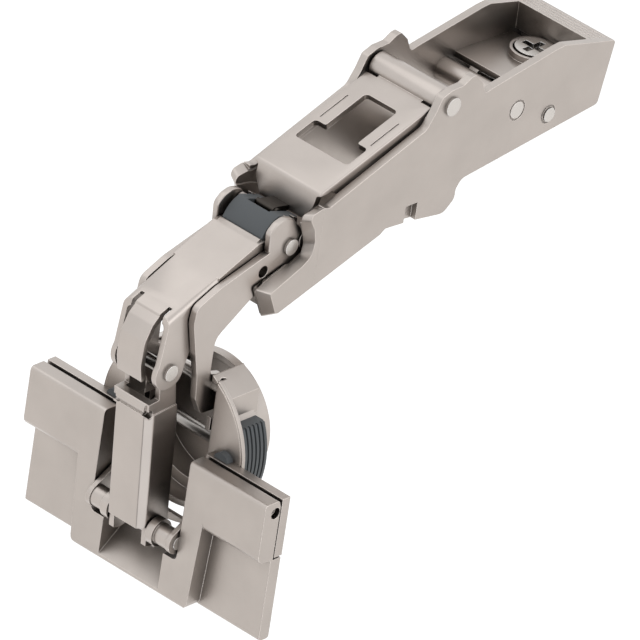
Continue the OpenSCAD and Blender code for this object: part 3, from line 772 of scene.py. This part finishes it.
@dataclass
class LinkCover:
    """The grey moulded cover that rolls over the centre pin."""

    book: FinishBook
    centre: Pair = (16.4, 37.0)
    outer: float = 5.7
    inner: float = 4.7
    half: float = 4.95
    notch_half: float = 2.7
    heel: Pair = (20.1, 40.95)
    edge: float = 0.12

    def build(self) -> None:
        """Builds the cover with its notch."""
        crown = arc(self.centre, self.outer, 202, 104, 30)
        lining = arc(self.centre, self.inner, 106, 202, 30)
        outline = [*crown, self.heel, (self.heel[0] - 0.3, self.heel[1] - 0.5), *lining]
        cover = Solid("link_cover").prism(outline, -self.half, self.half).soften(self.edge)
        x, z = self.centre
        notch = [(x - 2.3, z + 4), (x - 1.0, z + 7), (x + 6, z + 7), (x + 6, z + 2), (x - 1.5, z + 2)]
        cover.cut(Solid("notch").prism(notch, -self.notch_half, self.notch_half))
        cover.finish(self.book.get(Finish.SLATE_PLASTIC), "elbow", "centre_roller")


@dataclass
class FrontEnd:
    """The front link's end under the cover."""

    book: FinishBook
    centre: Pair = (16.4, 37.0)
    under: float = 5.1
    plate_half: float = 5.0
    lip: tuple[Triple, ...] = ((8.0, 38.0, 0), (10.8, 39.21, 0.3), (11.2, 38.3, 0.3), (8.4, 37.1, 0))

    def build(self) -> None:
        """Builds the front link from the construction piece, drawn up to the cover."""
        link = Solid("front_link_shaped").from_node("front_link")
        rim = arc(self.centre, self.under, 152, -20, 30)
        link.cut(Solid("trim").prism([*rim, (25, 35), (25, 48), (10.6, 48)], -8, 8))
        link.join(Solid("lip").prism(round_corners(self.lip), -self.plate_half, self.plate_half))
        link.finish(self.book.get(Finish.SHEET_NICKEL), "front_link", "front_link")


@dataclass
class ElbowPair:
    """The two elbow plates with their round ears beside the cover."""

    book: FinishBook
    inner: float = 5.9
    outer: float = 7.25
    centre: Pair = (16.4, 37.0)
    bore_radius: float = 1.34
    edge: float = 0.25
    ear: tuple[Triple, ...] = (
        (10.9, 37.4, 0.3), (10.6, 41.2, 1.6), (12.2, 42.7, 2.2), (14.2, 43.3, 3.0), (16.4, 42.7, 2.0),
        (17.9, 41.0, 1.5), (18.6, 38.5, 0), (16.4, 36.0, 0), (12.0, 36.0, 0),
    )

    def build(self) -> None:
        """Builds both plates from the construction pieces."""
        for side, word in ((1, "left"), (-1, "right")):
            low, high = sorted((side * self.inner, side * self.outer))
            lobe = Solid("lobe").prism(round_corners(self.ear, 8), low, high).soften(self.edge)
            lobe.cut(Solid("bore").prism(ring(self.centre, self.bore_radius), -9, 9))
            plate = Solid(f"elbow_{word}_eared").from_node(f"elbow_{word}").join(lobe)
            plate.finish(self.book.get(Finish.SHEET_NICKEL), "elbow", f"elbow_{word}")


@dataclass
class ArmNose:
    """The arm with the thick drafted wall round the elbow's recess."""

    book: FinishBook
    half: float = 10.18
    recess: float = 7.55
    pivot: Pair = (20.6, 37.4)
    head_sweep: float = 5.95
    head_room: float = 8.0
    sheet_room: float = 8.3
    front: tuple[Pair, ...] = ((5, 20), (21.1, 20), (21.1, 46), (5, 46))
    sunk: tuple[Pair, ...] = (
        (15.5, 42.4), (17.8, 42.0), (21.0, 41.5), (24.0, 40.5), (32.0, 40.3), (32.0, 48.0), (15.5, 48.0),
    )
    outer: tuple[Triple, ...] = (
        (26.0, 41.6, 0), (24.4, 44.5, 0), (21.7, 44.2, 0.4), (20.7, 44.75, 0.6), (18.2, 44.2, 1.5),
        (17.9, 43.0, 0.8), (19.3, 40.8, 2), (19.9, 38.2, 3), (19.5, 35.3, 2.6), (17.2, 33.8, 1),
        (9.5, 30.5, 0.5), (11.9, 25.53, 0.8), (26.0, 30.15, 0),
    )
    inner: tuple[Triple, ...] = (
        (26.0, 41.6, 0), (24.4, 43.6, 0), (21.7, 43.5, 0.4), (20.4, 43.6, 0.6), (17.4, 43.3, 1.0),
        (17.1, 42.2, 0.8), (18.0, 39.5, 2), (19.0, 37.2, 2), (18.6, 34.6, 1.4), (16.4, 33.8, 1),
        (8.3, 30.6, 0.3), (11.1, 23.9, 0.8), (26.0, 29.6, 0),
    )

    def build(self) -> None:
        """Builds the arm from the construction piece, with a new front end on each side."""
        arm = Solid("arm_shaped").from_node("arm_body")
        for side in (1, -1):
            low, high = sorted((side * self.recess, side * (self.half + 1)))
            arm.cut(Solid("front").prism(self.front, low, high))
            arm.join(self._wall(side))
        arm.finish(self.book.get(Finish.CAST_NICKEL), "arm", "arm_body")

    def _wall(self, side: int) -> Solid:
        """Makes one nose wall, with room for the pin heads and the top link in the swing."""
        near, far = round_corners(self.inner), round_corners(self.outer)
        wall = Solid("wall").prism(near, side * self.recess, side * self.half, ACROSS, far)
        wall.cut(Solid("sink").prism(self.sunk, -self.sheet_room, self.sheet_room))
        sweep = ring(self.pivot, self.head_sweep, 48)
        return wall.cut(Solid("sweep").prism(sweep, -self.head_room, self.head_room))


@dataclass
class Studio:
    """Floor, cards, lamps, world and camera around the hinge."""

    floor_z: float = -0.30
    floor_half: float = 6.0
    floor_grey: float = 0.8
    floor_glow: float = 0.72
    room_colour: Triple = (0.96, 0.98, 1.0)
    room_strength: float = 0.5
    card_tint: Triple = (1.0, 0.985, 0.97)
    view_right: Triple = (0.682, -0.720, 0.134)
    view_up: Triple = (0.275, 0.421, 0.864)
    aim_mm: Triple = (23.8, -10.8, 21.0)
    view_mm: float = 115.7
    lens: float = 700.0

    def build(self) -> None:
        """Builds the whole studio."""
        self.make_floor()
        self.make_world()
        self.make_cards()
        self.make_lamps()
        self.make_camera()

    def _seen(self, tree: bpy.types.NodeTree) -> bpy.types.NodeSocket:
        """Makes the factor that is 1 for rays that look at the background.

        Args:
            tree: The nodes of a material or of the world.

        Returns:
            The output socket of the factor.
        """
        path = tree.nodes.new("ShaderNodeLightPath")
        factor = path.outputs["Is Camera Ray"]
        for ray in ("Is Glossy Ray", "Is Transmission Ray"):
            total = tree.nodes.new("ShaderNodeMath")
            total.operation = "ADD"
            total.use_clamp = True
            tree.links.new(factor, total.inputs[0])
            tree.links.new(path.outputs[ray], total.inputs[1])
            factor = total.outputs["Value"]
        return factor

    def _glow(
        self, tree: bpy.types.NodeTree, colour: Triple, strength: float = 1.0
    ) -> bpy.types.NodeSocket:
        """Adds a surface that shines by itself.

        Args:
            tree: The material's nodes.
            colour: Its colour.
            strength: How bright it is.

        Returns:
            The output socket of the surface.
        """
        glow = tree.nodes.new("ShaderNodeEmission")
        glow.inputs["Color"].default_value = (*colour, 1)
        glow.inputs["Strength"].default_value = strength
        return glow.outputs["Emission"]

    def _plane(self, name: str, half_width: float, half_height: float) -> bpy.types.Object:
        """Puts a flat rectangle with an empty material into the scene.

        Args:
            name: The rectangle's name.
            half_width: Half its width, in metres.
            half_height: Half its height, in metres.

        Returns:
            The rectangle, with a material that has only an output.
        """
        w, h = half_width, half_height
        mesh = bpy.data.meshes.new(name)
        mesh.from_pydata([(-w, -h, 0), (w, -h, 0), (w, h, 0), (-w, h, 0)], [], [(0, 1, 2, 3)])
        plane = bpy.data.objects.new(name, mesh)
        bpy.context.scene.collection.objects.link(plane)
        mat = new_material(name)
        mat.node_tree.nodes.remove(mat.node_tree.nodes["Principled BSDF"])
        mesh.materials.append(mat)
        return plane

    def make_floor(self) -> None:
        """Lays the pale floor, which shows as white and keeps the shadow."""
        floor = self._plane("Floor", self.floor_half, self.floor_half)
        floor.location.z = self.floor_z
        tree = floor.data.materials[0].node_tree
        plain = tree.nodes.new("ShaderNodeBsdfDiffuse")
        plain.inputs["Color"].default_value = (*(self.floor_grey,) * 3, 1)
        both = tree.nodes.new("ShaderNodeAddShader")
        mix = tree.nodes.new("ShaderNodeMixShader")
        tree.links.new(plain.outputs["BSDF"], both.inputs[0])
        tree.links.new(self._glow(tree, (1, 1, 1), self.floor_glow), both.inputs[1])
        tree.links.new(self._seen(tree), mix.inputs["Fac"])
        tree.links.new(plain.outputs["BSDF"], mix.inputs[1])
        tree.links.new(both.outputs["Shader"], mix.inputs[2])
        tree.links.new(mix.outputs["Shader"], tree.nodes["Material Output"].inputs["Surface"])

    def make_world(self) -> None:
        """Lights the room evenly and shows it as white."""
        world = bpy.data.worlds.new("Room")
        bpy.context.scene.world = world
        world.use_nodes = True
        tree = world.node_tree
        soft = tree.nodes["Background"]
        soft.inputs["Color"].default_value = (*self.room_colour, 1)
        soft.inputs["Strength"].default_value = self.room_strength
        white = tree.nodes.new("ShaderNodeBackground")
        white.inputs["Color"].default_value = (1, 1, 1, 1)
        white.inputs["Strength"].default_value = 1.0
        mix = tree.nodes.new("ShaderNodeMixShader")
        tree.links.new(self._seen(tree), mix.inputs["Fac"])
        tree.links.new(soft.outputs["Background"], mix.inputs[1])
        tree.links.new(white.outputs["Background"], mix.inputs[2])
        tree.links.new(mix.outputs["Shader"], tree.nodes["World Output"].inputs["Surface"])

    def _hang(self, thing: bpy.types.Object, toward: Triple, distance: float, sign: int) -> None:
        """Hangs a card or lamp round the point that the camera looks at.

        Args:
            thing: The card or lamp.
            toward: The direction from the hinge to it.
            distance: How far away it hangs, in metres.
            sign: 1 to turn its own Z axis away from the hinge, -1 to turn it to the hinge.
        """
        way = Vector(toward).normalized()
        thing.location = Vector(self.aim_mm) * MM + way * distance
        thing.rotation_mode = "QUATERNION"
        thing.rotation_quaternion = (way * sign).to_track_quat("Z", "Y")

    def make_card(self, name: str, toward: Triple, distance: float, size: Pair, grey: float) -> None:
        """Hangs one grey card that only reflections see.

        Args:
            name: The card's name.
            toward: The direction from the hinge to the card.
            distance: How far away it hangs, in metres.
            size: Its width and height, in metres.
            grey: How bright it is.
        """
        card = self._plane(name, size[0] / 2, size[1] / 2)
        self._hang(card, toward, distance, -1)
        tree = card.data.materials[0].node_tree
        surface = self._glow(tree, tuple(grey * part for part in self.card_tint))
        tree.links.new(surface, tree.nodes["Material Output"].inputs["Surface"])
        card.visible_camera = False
        card.visible_diffuse = False
        card.visible_shadow = False
        card.visible_transmission = False

    def make_cards(self) -> None:
        """Hangs the cards that shape the metal's reflections."""
        self.make_card("Low front card", (-0.86, -0.14, -0.49), 0.26, (0.14, 0.16), 0.22)
        self.make_card("Near side card", (0.68, -0.55, -0.48), 0.26, (0.42, 0.34), 1.0)
        self.make_card("Front card", (-0.68, 0.55, -0.48), 0.26, (0.36, 0.30), 1.02)
        self.make_card("Left card", (-0.6, -0.75, 0.25), 0.5, (0.5, 0.35), 0.7)

    def make_lamp(self, name: str, toward: Triple, distance: float, size: float, power: float) -> None:
        """Hangs one square soft lamp that faces the hinge.

        Args:
            name: The lamp's name.
            toward: The direction from the hinge to the lamp.
            distance: How far away it hangs, in metres.
            size: The side of the lamp, in metres.
            power: Its power in watts.
        """
        data = bpy.data.lights.new(name, "AREA")
        data.shape = "SQUARE"
        data.size = size
        data.energy = power
        lamp = bpy.data.objects.new(name, data)
        self._hang(lamp, toward, distance, 1)
        bpy.context.scene.collection.objects.link(lamp)

    def make_lamps(self) -> None:
        """Hangs the key lamp above and the two fill lamps."""
        self.make_lamp("Key lamp", (-0.25, 0.35, 1.0), 0.9, 0.9, 0.9)
        self.make_lamp("Front lamp", (-0.9, -0.25, 0.45), 0.9, 0.5, 0.9)
        self.make_lamp("Side lamp", (0.3, -1.0, 0.5), 1.0, 0.6, 0.9)

    def make_camera(self) -> None:
        """Places the camera at the photograph's angle with a very long lens."""
        data = bpy.data.cameras.new("Camera")
        data.sensor_width = SENSOR_MM
        data.lens = self.lens
        camera = bpy.data.objects.new("Camera", data)
        bpy.context.scene.collection.objects.link(camera)
        bpy.context.scene.camera = camera
        right = Vector(self.view_right).normalized()
        up = Vector(self.view_up)
        up = (up - right * up.dot(right)).normalized()
        back = right.cross(up)
        distance = self.view_mm * MM / SENSOR_MM * self.lens
        turn = Matrix((right, up, back)).transposed().to_4x4()
        camera.matrix_world = Matrix.Translation(Vector(self.aim_mm) * MM + back * distance) @ turn
        data.clip_start = distance * 0.05
        data.clip_end = distance * 20


def main() -> None:
    """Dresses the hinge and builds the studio."""
    logging.basicConfig(level=logging.INFO, format="%(message)s")
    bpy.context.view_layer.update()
    book = FinishBook()
    for unit in (CupUnit(book), LinkTrain(book), ClipArm(book)):
        unit.dress()
    for shaped in (TopSheet(book), LinkCover(book), FrontEnd(book), ElbowPair(book), ArmNose(book)):
        shaped.build()
    Studio().build()
    bpy.context.scene.view_settings.view_transform = "Standard"


if __name__ == "__main__":
    main()
